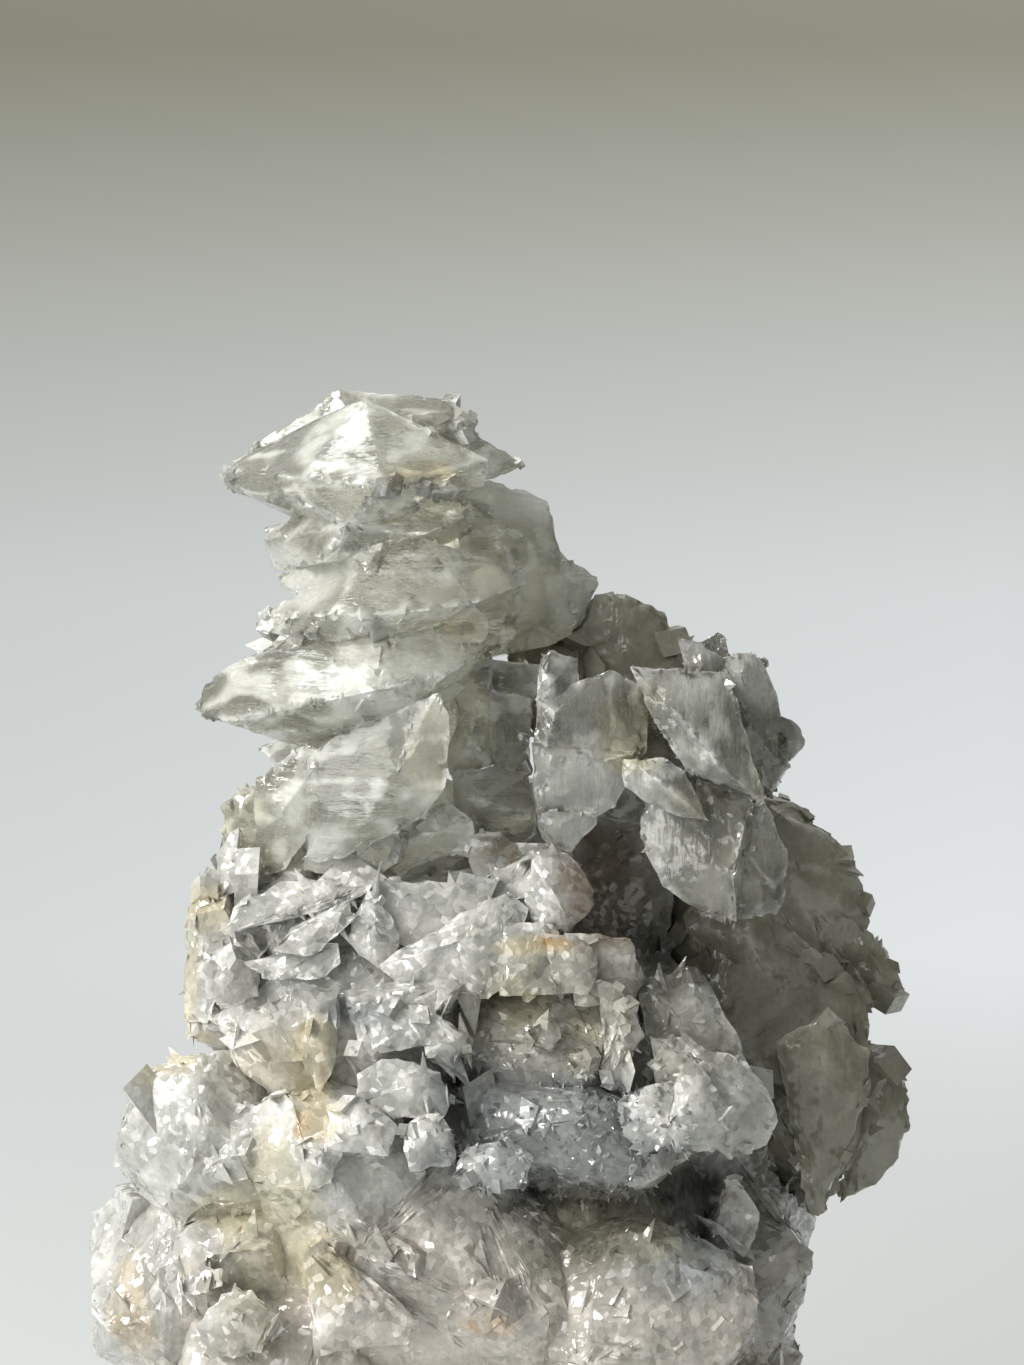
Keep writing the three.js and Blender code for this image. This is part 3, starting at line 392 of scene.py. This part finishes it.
stains_and_painted_shade = {
    "matrix": [
        ("foot", (2, 14), 30, 16, BLUSH, 1.0),
        ("druse", (4, 34), 9, 4.8, SLATE, 0.85),
        ("druse upper left", (-1, 38.4), 4.6, 3.0, SLATE, 0.8),
        ("druse under the ledge", (4, 40.6), 6, 2.6, PEWTER, 0.7),
        # the ledge's own grey-olive deepened with painted shade, then painted shade on the block right of it
        ("ledge body", (5, 45), 9, 5, GREY_OLIVE_SHADE, 0.95),
        ("block right of the ledge", (15, 42), 4, 3.4, GREY_OLIVE_SHADE, 0.7),
        ("druse behind the white crystal", (7, 38), 3.4, 1.6, SLATE, 0.7),
        ("druse below the white crystal", (14, 26), 6, 3.4, SLATE, 0.9),
        ("druse seam", (-11, 43.9), 3, 0.9, SLATE, 0.8),
        # painted shadow deep in the cleft
        ("cleft", (8, 29), 7, 1.3, PAINTED_SHADOW, 0.85),
        ("cleft, right end", (14.5, 28.4), 5, 1.2, PAINTED_SHADOW, 0.8),
        ("cleft foot", (9, 26), 6, 2, OLIVE_AND_SHADE, 0.7),
        ("blade", (-14.2, 39), 1.8, 4.6, CREAM, 0.9),
        ("rust spot", (-15.2, 35.4), 0.7, 0.8, RUST, 0.9),
        ("curtain", (-17, 28), 3.2, 7, STRAW, 0.7),
        ("curtain foot", (-13, 25), 2.6, 2.4, CREAM, 0.9),
        ("olive face", (-19.4, 22), 2.6, 4, OLIVE_AND_SHADE, 0.5),
        ("left stain", (-28.2, 20), 2.2, 3.6, BEIGE, 0.8),
        ("boulder top", (-26, 40), 3, 1.6, CREAM, 0.9),
        ("boulder foot", (-21, 28.4), 3.4, 1.8, STRAW, 0.8),
        ("left column", (-25, 45), 1.4, 5, CREAM, 0.7),
        ("left column top", (-22.8, 51.4), 1.6, 1.8, CREAM, 0.95),
        ("striae", (-18, 40.4), 3, 3, CREAM, 0.5),
        ("ledge edge", (2, 48.9), 2.6, 0.7, CREAM, 1.0),
        ("ledge rust", (4.2, 49.4), 1.2, 0.5, RUST, 0.9),
        ("ledge shade", (1.8, 44.6), 2.2, 1.8, OLIVE_AND_SHADE, 0.8),
        ("block shade", (6.4, 41), 1.5, 2.6, OLIVE_AND_SHADE, 0.4),
        # painted shade in the hollow, and painted shadow on its floor
        ("hollow", (9.8, 53.4), 4.6, 5.4, HOLLOW_BROWN_SHADE, 1.0),
        ("hollow floor", (14, 47), 5, 2.4, PAINTED_SHADOW, 0.9),
        ("right flank", (22, 26), 4, 9, PEWTER, 0.8),
        ("rust at the foot", (-1.2, 20.2), 1.8, 0.8, RUST, 0.6),
    ],
    "pagoda_tower": [
        ("inside the cap", (-5.6, 85.6), 2.6, 0.9, CREAM, 0.9),
        ("blunt end", (-3, 73.2), 2, 1, BEIGE, 0.6),
        ("disc", (-5.4, 64), 1.6, 4, CREAM, 0.35),
        ("foot bud", (0, 55.4), 2, 1.4, BEIGE, 0.6),
        ("left discs", (-20, 56), 3, 4, STRAW, 0.35),
    ],
    "shoulder_cluster": [
        ("yellow edge", (10, 66), 2.4, 3.4, STRAW, 0.8),
        # painted shade: the darkened folds, the dark right side and the lower plates
        ("dark fold", (15, 60), 2.4, 1.6, OLIVE_AND_SHADE, 0.6),
        ("dark right", (21, 63), 1.6, 2.4, OLIVE_AND_SHADE, 0.5),
        ("lower plates", (18, 54), 6, 5, GREY_OLIVE_SHADE, 0.8),
    ],
    "rear_crystals": [],
}


def colouring(node, co):
    """Each corner's tint: its node's staining and painted shade, with ragged edges."""
    colour = np.tile(WHITE, (len(co), 1))
    ragged = 0.35 * smooth_noise(co, 3, 77) + 0.2 * smooth_noise(co, 1.2, 78)
    front = np.clip((NEAR_Y + FADE_Y - co[:, 1]) / FADE_Y, 0, 1)
    for _, middle, wide, high, tint, strength in stains_and_painted_shade[node]:
        far = off_centre(co, middle, wide, high) + ragged
        share = strength * front * np.clip((1.25 - far) / 0.5, 0, 1)
        colour = colour * (1 - share)[:, None] + np.array(tint) * share[:, None]
    return colour


def ramp(value, low, high):
    """0 below low, 1 above high, and a soft step between."""
    t = np.clip((value - low) / (high - low), 0, 1)
    return t * t * (3 - 2 * t)


FROSTED = np.array((0.90, 0.90, 0.88))  # chipped edges
# painted shade for the folds between crystals
CREASE_SHADE_COLOUR = np.array((0.42, 0.41, 0.36))  # folds between crystals

# How each node's crystal looks: colour where it is clear and where it is milky, how much of it is milky, how
# its veils run (the noise is squeezed by these amounts along X, Y and Z), and how strong frost and the
# painted shade in folds are
looks = {
    "pagoda_tower": dict(
        clear=(0.95, 0.95, 0.87), milky=(0.95, 0.95, 0.89), cloud=0.85,
        veil=(0.5, 0.5, 1.5), edge=1.0, fold_shade=0.2),
    "shoulder_cluster": dict(
        clear=(0.62, 0.62, 0.565), milky=(0.70, 0.70, 0.65), cloud=0.8,
        veil=(1.3, 0.7, 0.5), edge=1.0, fold_shade=0.35),
    # the rear crystals' dark olive colours are painted shade: they stand behind, on the shaded right
    "rear_crystals": dict(
        clear=(0.235, 0.225, 0.17), milky=(0.36, 0.35, 0.275), cloud=0.7,
        veil=(0.8, 0.8, 0.6), edge=0.35, fold_shade=0.4),
    "matrix": dict(
        clear=(0.60, 0.60, 0.56), milky=(0.86, 0.845, 0.80), cloud=0.95,
        veil=(1.3, 0.9, 0.5), edge=0.9, fold_shade=0.2),
}


def finish(node, co, rim, crease):
    """Each corner's colour, and how milky and how frosted it is."""
    look = looks[node]
    clouds = ramp(smooth_noise(co, 7, 61) + 0.5 * smooth_noise(co, 3, 62), -0.05, 0.75)
    bent = co * np.array(look["veil"]) + 0.6 * smooth_noise(co, 4, 63)[:, None]
    veils = ramp(1 - np.abs(smooth_noise(bent, 2.4, 64)) - 0.25 * smooth_noise(co, 1.1, 65), 0.72, 1.05)
    patchy = 0.6 + 0.6 * smooth_noise(co, 3.4, 66) + 0.2 * smooth_noise(co, 1.5, 67)
    frost = look["edge"] * ramp(rim * patchy, 0.2, 0.95)
    milk = np.maximum(look["cloud"] * np.maximum(clouds, 0.85 * veils), frost)
    body = np.array(look["clear"]) + (np.array(look["milky"]) - np.array(look["clear"])) * milk[:, None]
    body += (FROSTED - body) * (0.6 * frost)[:, None]
    # painted shade: corners near creases darken towards the crease shade colour
    body += (CREASE_SHADE_COLOUR - body) * (look["fold_shade"] * crease)[:, None]
    return body * colouring(node, co), milk, frost


# Materials

def adder(tree):
    """Empties a node tree and gives one call to fill it: add(kind, settings, input=value or output, ...). An
    input goes by its name, with _ for a space, or by i and its number."""
    tree.nodes.clear()

    def add(kind, settings=None, **inputs):
        node = tree.nodes.new(kind)
        for key, value in (settings or {}).items():
            setattr(node, key, value)
        for key, value in inputs.items():
            numbered = key[0] == "i" and key[1:].isdigit()
            socket = node.inputs[int(key[1:]) if numbered else key.replace("_", " ")]
            if isinstance(value, bpy.types.NodeSocket):
                tree.links.new(value, socket)
            else:
                socket.default_value = value
        return node

    return add


def shader(name):
    """A new material, and the call that adds its nodes."""
    material = bpy.data.materials.new(name)
    material.use_nodes = True
    return material, adder(material.node_tree)


def calcite(name, *, transmission, roughness, absorb=None, grit, bump, sparkle, coat, glints, silk, lines):
    """Calcite: the clearer it is the more it lets through, with a bumpy glitter that is stronger where it is
    frosted. absorb gives the tint that light takes on inside, and how densely it is absorbed."""
    material, add = shader(name)

    def maths(operation, a, b):
        return add("ShaderNodeMath", {"operation": operation}, i0=a, i1=b).outputs[0]

    def vector(operation, a, b):
        return add("ShaderNodeVectorMath", {"operation": operation}, i0=a, i1=b).outputs

    def scaled(a, factor):
        return add("ShaderNodeVectorMath", {"operation": "SCALE"}, i0=a, Scale=factor).outputs[0]

    def span(value, low, high, to_low, to_high):
        return add("ShaderNodeMapRange", i0=value, i1=low, i2=high, i3=to_low, i4=to_high).outputs[0]

    mm = scaled(add("ShaderNodeTexCoord").outputs["Object"], 1 / MM)

    # Flat chips, each tilted its own way
    cells = add("ShaderNodeTexVoronoi", Vector=mm, Scale=1.7).outputs
    away = vector("SUBTRACT", mm, cells["Position"])[0]
    tilt = vector("SUBTRACT", cells["Color"], (0.5, 0.5, 0.5))[0]
    chips = vector("DOT_PRODUCT", away, tilt)["Value"]

    colour = add("ShaderNodeAttribute", {"attribute_name": "paint"}).outputs["Color"]
    milk = add("ShaderNodeAttribute", {"attribute_name": "milk"}).outputs["Fac"]
    frost = add("ShaderNodeAttribute", {"attribute_name": "frost"}).outputs["Fac"]
    grain = add("ShaderNodeTexNoise", Vector=mm, Scale=2.2, Detail=3.0, Roughness=0.6).outputs["Fac"]

    mottled = scaled(colour, span(grain, 0.3, 0.7, 0.86, 1.06))
    along = vector("MULTIPLY", mm, lines)[0]
    striae = add("ShaderNodeTexNoise", Vector=along, Scale=1.0, Detail=2.0, Roughness=0.6).outputs["Fac"]
    polish = add("ShaderNodeSeparateXYZ", i0=cells["Color"]).outputs[0]
    rough = maths("MULTIPLY", span(milk, 0.0, 1.0, *roughness), span(polish, 0.0, 1.0, 0.2, 1.2))
    see = maths("MULTIPLY", span(milk, 0.0, 1.0, 1.0, 0.3), transmission)
    glitter = maths("MULTIPLY", chips, maths("ADD", maths("MULTIPLY", frost, sparkle), grit))
    fine = maths("ADD", maths("MULTIPLY", grain, 0.06), maths("MULTIPLY", striae, silk))
    height = maths("ADD", glitter, fine)
    normal = add("ShaderNodeBump", Strength=bump, Distance=MM, Height=height).outputs[0]
    glint = add("ShaderNodeBump", Strength=glints, Distance=MM, Height=chips).outputs[0]

    surface = add(
        "ShaderNodeBsdfPrincipled",
        Base_Color=mottled,
        Roughness=rough,
        IOR=1.57,
        Normal=normal,
        Transmission_Weight=see,
        Coat_Weight=coat,
        Coat_Roughness=0.08,
        Coat_IOR=1.6,
        Coat_Normal=glint,
    )
    ends = {"Surface": surface.outputs[0]}
    if absorb:
        tint, density = absorb
        ends["Volume"] = add("ShaderNodeVolumeAbsorption", Color=(*tint, 1), Density=density).outputs[0]
    add("ShaderNodeOutputMaterial", **ends)
    return material


materials = {
    "clear_calcite": calcite(
        "clear_calcite", transmission=0.86, roughness=(0.04, 0.34), absorb=((0.88, 0.87, 0.77), 56),
        grit=0.12, bump=0.5, sparkle=1.6, coat=0.5, glints=0.12, silk=0.22, lines=(0.5, 0.5, 2.2)),
    "grey_calcite": calcite(
        "grey_calcite", transmission=0.75, roughness=(0.04, 0.34), absorb=((0.80, 0.80, 0.71), 150),
        grit=0.3, bump=0.5, sparkle=1.8, coat=0.7, glints=0.45, silk=0.22, lines=(2.0, 1.4, 0.5)),
    # opaque, for the rear crystals, whose dark paint is painted shade rather than a smoky tint
    "smoky_calcite": calcite(
        "smoky_calcite", transmission=0.0, roughness=(0.10, 0.36),
        grit=0.25, bump=0.5, sparkle=0.8, coat=0.35, glints=0.2, silk=0.22, lines=(1.5, 1.5, 0.5)),
    "massive_calcite": calcite(
        "massive_calcite", transmission=0.2, roughness=(0.07, 0.40),
        grit=0.8, bump=0.6, sparkle=1.2, coat=0.9, glints=0.8, silk=0.16, lines=(1.2, 1.6, 0.7)),
}
materials["veil"], add = shader("veil")
white_veil = add(
    "ShaderNodeBsdfPrincipled", Base_Color=(0.9, 0.9, 0.87, 1), Roughness=0.25, IOR=1.2,
    Transmission_Weight=0.45)
add("ShaderNodeOutputMaterial", Surface=white_veil.outputs[0])

# The specimen

SPECKLE = 0.08  # how much the shades of small crystals differ, unless their coat says otherwise
WHITEST = 0.98  # no small crystal's colour goes over this
SHEET_CORNERS = 14  # of each cracked sheet
SHEET_DEPTH = (1.6, 4.0)  # of its middle below the surface, mm
SHEET_GAP = 0.25  # it keeps this far from the surface, mm
DRAW_BACK = 0.3  # steps in which its corners draw back, mm
LEAST_REACH = 0.2  # a sheet with a corner nearer than this to its middle is left out, mm
SOFT_EDGE = 60  # the sheets' edges look sharp over this bend, degrees

BARE_SHARE = 0.12  # of the small crystals still grow on the bare faces

# Crystals of the front whose faces stay nearly bare: where they show, half width, half height
BARE = [
    ((-4, 48.5), 5, 3), ((6, 46), 6, 3), ((5, 52), 3, 3.4), ((10, 40), 2, 4), ((15, 41), 4, 4.4),
    ((15.5, 34), 6.5, 4.4), ((-15, 48), 8, 4), ((-21, 45), 1.8, 3), ((-8, 41), 4, 2.2), ((-7.6, 36), 4, 2.4),
    ((-11, 33), 3.4, 2.4), ((-5.6, 31.6), 2.4, 2.4), ((-14.2, 39), 1.8, 4.4),
    ((-24, 20.3), 2, 1.4), ((-11, 19), 4.6, 4.6), ((-21, 17), 3.4, 3), ((9.8, 53.4), 5, 6),
    ((3.9, 40.6), 1.4, 2),
]

# How each node is dressed. form is its rough copy. Each coat is a set of small crystals: how many, how large
# (grain, mm), how deep they sink in, how far they lean, and spots of the front (middle, half width, half
# height, number), where number is their size on faces and their chance on crests
pieces = {
    "pagoda_tower": dict(
        slot="clear_calcite", crisp=26,
        form=dict(longest=0.6, swell=0.12, chips=0.22, seed=1),
        veils=dict(count=110, radius=(0.8, 3.2), plane=(-0.25, -0.1, 1), seed=21),
        coats=[
            dict(on="crests", count=1300, grain=0.3, elsewhere=0.1, sink=0.6, lean=0.9, seed=11,
                 shapes=["rhomb", "disc", "plate"], spots=[
                     ((-10, 83), 9, 1.8, 1.0), ((-21.5, 84.8), 2, 1.5, 1.0), ((-13, 73), 7, 1.8, 1.0),
                     ((-4.6, 76), 1.5, 1, 1.0), ((-24, 66), 2, 2, 1.0), ((-12, 66.6), 6, 1.6, 1.0),
                     ((-9, 57.4), 5, 2.4, 1.0), ((-3, 90), 3, 2, 1.0)]),
        ]),
    "shoulder_cluster": dict(
        slot="grey_calcite", crisp=26,
        form=dict(longest=0.55, swell=0.14, chips=0.25, seed=101),
        veils=dict(count=90, radius=(0.8, 2.6), plane=(1, 0.3, 0.4), seed=22),
        coats=[
            dict(on="crests", count=1200, grain=0.36, elsewhere=0.25, sink=0.6, lean=0.9, seed=13,
                 shapes=["tooth", "disc", "plate"], spots=[
                     ((13, 64), 3, 4, 1.0), ((15, 71), 2, 2, 1.0), ((3.6, 66), 1.5, 6, 1.0),
                     ((20, 68), 4, 4, 0.6)]),
        ]),
    "rear_crystals": dict(
        slot="smoky_calcite", crisp=40,
        form=dict(longest=0.8, swell=0.5, chips=0.4, broken=[(4.5, 0.3)], seed=201),
        coats=[
            dict(on="faces", count=160, grain=1.9, sink=0.5, lean=0.5, seed=15, shapes=["disc"]),
            dict(on="faces", count=50, grain=1.5, sink=0.1, lean=0.9, seed=25, shapes=["disc"],
                 only=((2.2, 70.2), 5, 3), near=30),
            dict(on="crests", count=500, grain=0.6, elsewhere=1.0, sink=0.5, lean=0.7, seed=17,
                 shapes=["disc", "rhomb"]),
        ]),
    "matrix": dict(
        slot="massive_calcite", crisp=34,
        form=dict(longest=1.05, swell=0.25, chips=0.3, broken=[(4.2, 0.3), (1.7, 0.1)], seed=301),
        coats=[
            dict(on="faces", count=2800, grain=1.5, sink=0.22, lean=0.3, lying=True, seed=16,
                 shapes=["blade"], bare=BARE, spots=[((4, 34), 9, 5, 0.8), ((8, 20), 14, 6, 0.9)]),
            dict(on="faces", count=360, grain=1.5, sink=0.7, lean=0.5, seed=18, shapes=["disc", "plate"],
                 bare=BARE),
            dict(on="faces", count=2600, grain=0.9, sink=0.75, lean=0.7, seed=14,
                 shapes=["disc", "plate", "disc", "plate", "disc", "plate", "rhomb"], bare=BARE, spots=[
                     ((4, 34), 9, 5, 0.34), ((8, 20), 14, 6, 0.42), ((9.8, 53), 5, 6, 0.4),
                     ((-26, 16), 6, 7, 0.6)]),
            dict(on="faces", count=1500, grain=0.42, sink=0.3, lean=0.9, seed=23, shapes=["disc", "tooth"],
                 only=((5, 35), 10, 8), speckle=0.6),
            dict(on="crests", count=900, grain=0.4, elsewhere=1.0, sink=0.6, lean=0.9, seed=19,
                 shapes=["disc", "plate", "rhomb"]),
        ]),
}


def places_for(coat, dice, co, tri, normal, crests):
    """Where a coat's crystals stand, over a piece's faces or along its crests: places, normals and sizes."""
    spots = coat.get("spots", [])
    if coat["on"] == "crests":
        crest = np.array(crests)
        chance = at_spots(crest, spots, coat["elsewhere"])
        chosen = dice.choice(len(crest), coat["count"], p=chance / chance.sum())
        tree = tree_of(co)
        found = [tree.find(p)[1] for p in crest[chosen]]
        return co[found], normal[found], np.full(len(found), coat["grain"])
    first = tri[:, 0]
    where = co[first]
    area = np.linalg.norm(np.cross(co[tri[:, 1]] - where, co[tri[:, 2]] - where), axis=1)
    size = at_spots(where, spots, coat["grain"])
    chance = area / size**2
    for spot in coat.get("bare", []):
        here = (off_centre(where, *spot) < 1) & (where[:, 1] < NEAR_Y)
        chance = np.where(here, BARE_SHARE * chance, chance)
    if "only" in coat:
        here = (off_centre(where, *coat["only"]) < 1) & (where[:, 1] < coat.get("near", FRONT_Y))
        chance = np.where(here, chance, 0)
    chosen = dice.choice(len(tri), coat["count"], p=chance / chance.sum())
    return where[chosen], normal[first[chosen]], size[chosen]


def grow_coat(coat, node, co, tri, normal, crests):
    """One coat of small crystals on a node: corners, triangles, colour, milk and frost."""
    low, high = co.min(axis=0), co.max(axis=0)
    dice = np.random.default_rng(coat["seed"])
    places, normals, sizes = places_for(coat, dice, co, tri, normal, crests)
    sizes = sizes * np.clip(dice.lognormal(0, 0.4, len(sizes)), 0.4, 2.2)
    margin = 1.25 * sizes[:, None]
    inside = ((places - margin > low) & (places + margin < high)).all(axis=1)
    places, normals, sizes = places[inside], normals[inside], sizes[inside]
    grown, faces, host, depth = grow(
        dice, places, normals, sizes, shapes=coat["shapes"], sink=coat["sink"], lean=coat["lean"],
        lying=coat.get("lying", False))
    rim = np.clip(0.35 + 0.4 * depth, 0, 0.8)
    # sunk corners of the small crystals get painted shade where they meet the surface
    crease = np.clip(0.3 - depth, 0, 0.8)
    colour, milk, frost = finish(node, grown, rim, crease)
    speckle = coat.get("speckle", SPECKLE)
    shade = dice.uniform(1 - speckle, 1 + speckle, len(places))[host]
    colour = np.minimum(colour * shade[:, None], WHITEST)
    return np.clip(grown, low, high), faces, colour, milk, frost


def joined(coats):
    """Several coats as one."""
    starts = np.cumsum([0] + [len(coat[0]) for coat in coats])
    co, tri, colour, milk, frost = zip(*coats)
    tri = [faces + start for faces, start in zip(tri, starts)]
    return [np.concatenate(part) for part in (co, tri, colour, milk, frost)]


def inner_veils(co, tri, normal, *, count, radius, plane, seed):
    """Thin ragged sheets inside a crystal, where it is cracked along its cleavage. A sheet's corner draws
    back until it is well inside, and a sheet that finds no room is left out."""
    dice = np.random.default_rng(seed)
    surface = BVHTree.FromPolygons(co.tolist(), tri.tolist())
    sheets, faces = [], []
    for _ in range(count):
        k = dice.integers(len(co))
        middle = co[k] - normal[k] * dice.uniform(*SHEET_DEPTH)
        up = np.array(plane) + dice.uniform(-0.3, 0.3, 3)
        up /= np.linalg.norm(up)
        along = np.cross(up, dice.uniform(-1, 1, 3))
        along /= np.linalg.norm(along)
        across = np.cross(up, along)
        size = dice.uniform(*radius)
        ring = []
        for step in range(SHEET_CORNERS):
            a = math.tau * step / SHEET_CORNERS
            reach = size * dice.uniform(0.6, 1.1)
            while reach > LEAST_REACH:
                p = middle + reach * (math.cos(a) * along + 0.7 * math.sin(a) * across)
                near, outward, _, gap = surface.find_nearest(Vector(p))
                if (Vector(p) - near).dot(outward) < 0 and gap > SHEET_GAP:
                    break
                reach -= DRAW_BACK
            else:
                ring = []
                break
            ring.append(p)
        if not ring:
            continue
        start = len(sheets)
        sheets += [middle] + ring
        faces += [(start, start + 1 + j, start + 1 + (j + 1) % SHEET_CORNERS) for j in range(SHEET_CORNERS)]
    return np.array(sheets), np.array(faces)


def dress(name, node, piece, co, tri, colour, milk, frost):
    """Makes one visible piece of a node, with its paint."""
    obj = mesh_object(name, co, tri, piece["crisp"])
    for mark, values in (("milk", milk), ("frost", frost)):
        obj.data.attributes.new(mark, "FLOAT", "POINT").data.foreach_set("value", values)
    colour = np.concatenate([colour, np.ones((len(co), 1))], axis=1)
    obj.data.attributes.new("paint", "FLOAT_COLOR", "POINT").data.foreach_set("color", colour.ravel())
    obj.data.materials.append(materials[piece["slot"]])
    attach(obj, "root")
    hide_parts(node)


for node, piece in pieces.items():
    co, tri, normal, crests, rim, crease = rough_out(node, **piece["form"])
    dress(node + "_body", node, piece, co, tri, *finish(node, co, rim, crease))
    coats = [grow_coat(coat, node, co, tri, normal, crests) for coat in piece["coats"]]
    dress(node + "_crystals", node, piece, *joined(coats))
    if "veils" in piece:
        sheets, sheet_tri = inner_veils(co, tri, normal, **piece["veils"])
        veils = mesh_object(node + "_veils", sheets, sheet_tri, SOFT_EDGE)
        veils.data.materials.append(materials["veil"])
        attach(veils, "root")
        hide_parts(node)


# Floor

FLOOR_RADIUS = 0.6  # m
FLOOR_SOLID, FLOOR_GONE = 0.06, 0.42  # the floor fades into the pale room between these distances, m


def floor_material():
    material, add = shader("floor")
    place = add("ShaderNodeTexCoord").outputs["Object"]
    away = add("ShaderNodeVectorMath", {"operation": "LENGTH"}, i0=place).outputs["Value"]
    soft = {"interpolation_type": "SMOOTHSTEP"}
    fade = add("ShaderNodeMapRange", soft, i0=away, i1=FLOOR_SOLID, i2=FLOOR_GONE).outputs[0]
    pale = add("ShaderNodeBsdfDiffuse", Color=(0.62, 0.64, 0.64, 1))
    gone = add("ShaderNodeBsdfTransparent")
    mixed = add("ShaderNodeMixShader", i0=fade, i1=pale.outputs[0], i2=gone.outputs[0])
    add("ShaderNodeOutputMaterial", Surface=mixed.outputs[0])
    return material


bpy.ops.mesh.primitive_circle_add(vertices=96, radius=FLOOR_RADIUS, fill_type="TRIFAN")
floor = bpy.context.object
floor.name = "floor"
floor.data.materials.append(floor_material())


# The room: a pale backdrop with about the tones of the photo's background

world = bpy.data.worlds.new("room")
bpy.context.scene.world = world
world.use_nodes = True
add = adder(world.node_tree)
parts = add("ShaderNodeSeparateXYZ", i0=add("ShaderNodeTexCoord").outputs["Generated"]).outputs


def tone_by(axis, stops):
    """Colour by one part of the direction: stops are (that part, colour)."""
    share = add("ShaderNodeMapRange", i0=parts[axis], i1=-1, i2=1).outputs[0]
    gradient = add("ShaderNodeValToRGB", i0=share)
    points = gradient.color_ramp.elements
    points.remove(points[0])
    for k, (part, colour) in enumerate(stops):
        point = points[0] if k == 0 else points.new((part + 1) / 2)
        point.position = (part + 1) / 2
        point.color = (*colour, 1)
    return gradient.outputs[0]


def multiplied(a, b):
    return add("ShaderNodeMix", {"data_type": "RGBA", "blend_type": "MULTIPLY"}, i0=1, i6=a, i7=b).outputs[2]


height_tone = tone_by("Z", [
    (-0.3, (0.68, 0.70, 0.71)), (-0.12, (0.70, 0.725, 0.73)), (-0.03, (0.61, 0.635, 0.635)),
    (0.04, (0.44, 0.455, 0.42)), (0.10, (0.265, 0.26, 0.21)), (0.22, (0.32, 0.32, 0.29)),
    (0.4, (0.62, 0.63, 0.61)), (0.9, (0.72, 0.73, 0.72))])
side_tone = tone_by("X", [
    (-1, (0.9, 0.9, 0.9)), (-0.5, (0.95, 0.95, 0.95)), (-0.12, (0.97, 0.97, 0.96)),
    (0.12, (1.1, 1.1, 1.1)), (0.5, (0.45, 0.45, 0.44)), (1, (0.35, 0.34, 0.32))])
depth_tone = tone_by("Y", [(-1, (0.7, 0.7, 0.7)), (0, (0.75, 0.75, 0.75)), (0.8, (1, 1, 1))])
backdrop = add("ShaderNodeBackground", Color=multiplied(multiplied(height_tone, side_tone), depth_tone))
add("ShaderNodeOutputWorld", Surface=backdrop.outputs[0])


# Lights

def softbox(name, azimuth, elevation, distance, side, watts, colour):
    """A square area light aimed at the specimen's middle. Azimuth 0 is the front and 90 the right."""
    light = bpy.data.lights.new(name, "AREA")
    light.size = side
    light.energy = watts
    light.color = colour
    a, e = math.radians(azimuth), math.radians(elevation)
    out = Vector((math.sin(a) * math.cos(e), -math.cos(a) * math.cos(e), math.sin(e)))
    obj = bpy.data.objects.new(name, light)
    obj.location = MIDDLE + out * distance
    obj.rotation_mode = "QUATERNION"
    obj.rotation_quaternion = out.to_track_quat("Z", "Y")
    bpy.context.scene.collection.objects.link(obj)


softbox("window", -64, 34, 0.9, 0.3, 6.2, (1.0, 0.99, 0.95))
softbox("front_fill", -38, 10, 1.2, 0.7, 5.0, (1.0, 0.995, 0.98))
softbox("top", -120, 68, 0.9, 0.4, 2.6, (1.0, 1.0, 0.98))

bpy.context.scene.view_settings.view_transform = "Standard"
